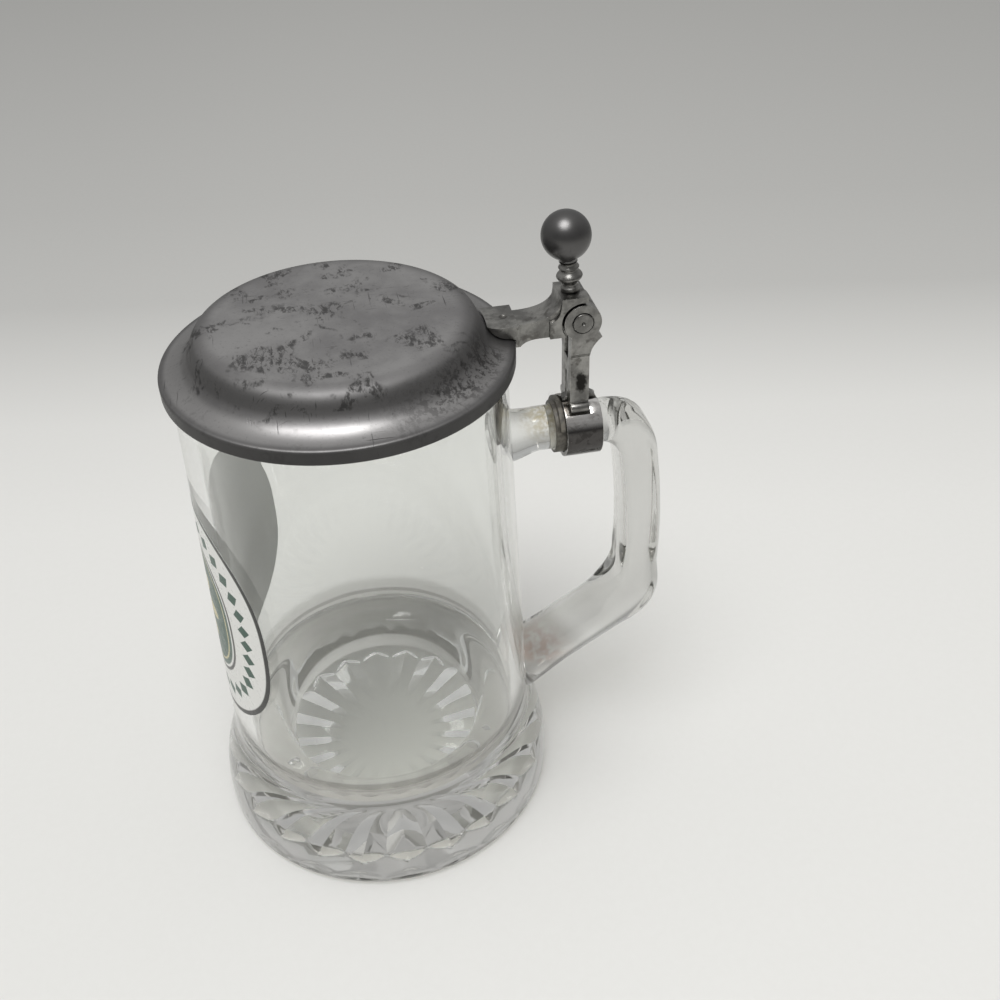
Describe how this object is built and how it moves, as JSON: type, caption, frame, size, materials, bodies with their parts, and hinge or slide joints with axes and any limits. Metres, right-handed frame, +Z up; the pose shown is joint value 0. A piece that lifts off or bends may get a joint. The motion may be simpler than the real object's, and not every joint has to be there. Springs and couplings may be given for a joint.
{
  "type": "lidded beer stein",
  "caption": "Clear pressed glass stein with a handle and a rayed foot, closed by a hinged pewter lid with a ball thumb lift clamped to the handle.",
  "frame": {"origin": "middle of the underside of the mug, on the surface it stands on", "axes": "+Z up along the mug's axis, +X towards the handle, lid hinge axis along +Y"},
  "size_m": [0.1358, 0.1004, 0.1774],
  "materials": {
    "clear_glass": "polished, colourless",
    "pewter": "dull pewter with dark patina",
    "cast_pewter": "satin casting with bright edges",
    "strap_metal": "bright rolled strip with tarnish",
    "liner": "matte"
  },
  "bodies": {
    "mug": {"glass_mug": "clear_glass", "clamp_liner": "liner", "clamp_strap": "strap_metal", "hinge_post": "cast_pewter", "hinge_pin": "cast_pewter"},
    "swinging_lid": {"lid": "pewter", "lid_arm": "cast_pewter", "thumb_stem": "cast_pewter", "thumb_ball": "pewter"}
  },
  "joints": [
    {"name": "lid_hinge", "type": "hinge", "parent": "mug", "child": "swinging_lid", "pos_m": [0.06035, 0, 0.14986], "axis": [0, 1, 0], "range_deg": [0, 105]}
  ]
}
